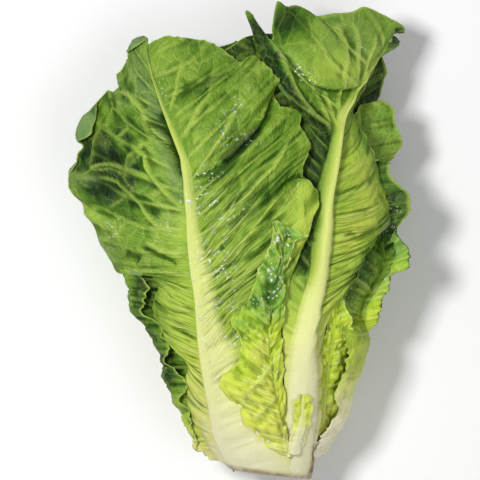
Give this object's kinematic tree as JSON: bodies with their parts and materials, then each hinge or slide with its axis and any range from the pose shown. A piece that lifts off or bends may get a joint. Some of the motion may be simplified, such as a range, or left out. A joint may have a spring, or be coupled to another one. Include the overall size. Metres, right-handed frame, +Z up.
{
  "type": "romaine lettuce heart",
  "caption": "Trimmed romaine lettuce heart lying on its back, with overlapping ribbed leaves, small side shoots and a cut butt.",
  "frame": {"origin": "middle of the head's footprint, on the surface it lies on", "axes": "+Z up, +Y from the cut butt to the leaf tips, +X to the right of a viewer looking down with the tips away from them"},
  "size_m": [0.1864, 0.2616, 0.0967],
  "materials": {
    "green_leaf": "satin",
    "pale_leaf": "satin",
    "shoot_leaf": "satin",
    "cut_stem": "satin"
  },
  "bodies": {
    "root": {"stem_core": "cut_stem", "outer_leaf_left": "green_leaf", "outer_leaf_right": "green_leaf", "side_shoot_middle": "shoot_leaf", "baby_leaf": "shoot_leaf", "side_shoot_right": "shoot_leaf", "pale_leaf_right": "pale_leaf", "ruffled_leaf_right": "green_leaf", "back_leaf_right": "green_leaf", "tall_leaf_right": "green_leaf", "ruffled_leaf_left": "green_leaf", "back_leaf_middle": "green_leaf", "under_leaf_middle": "green_leaf", "under_leaf_left": "green_leaf", "under_leaf_outer": "green_leaf", "under_leaf_right": "green_leaf", "heart_leaf_1": "pale_leaf", "heart_leaf_2": "pale_leaf", "heart_leaf_3": "pale_leaf", "heart_leaf_4": "pale_leaf", "heart_leaf_5": "pale_leaf", "heart_leaf_6": "pale_leaf"}
  },
  "joints": []
}
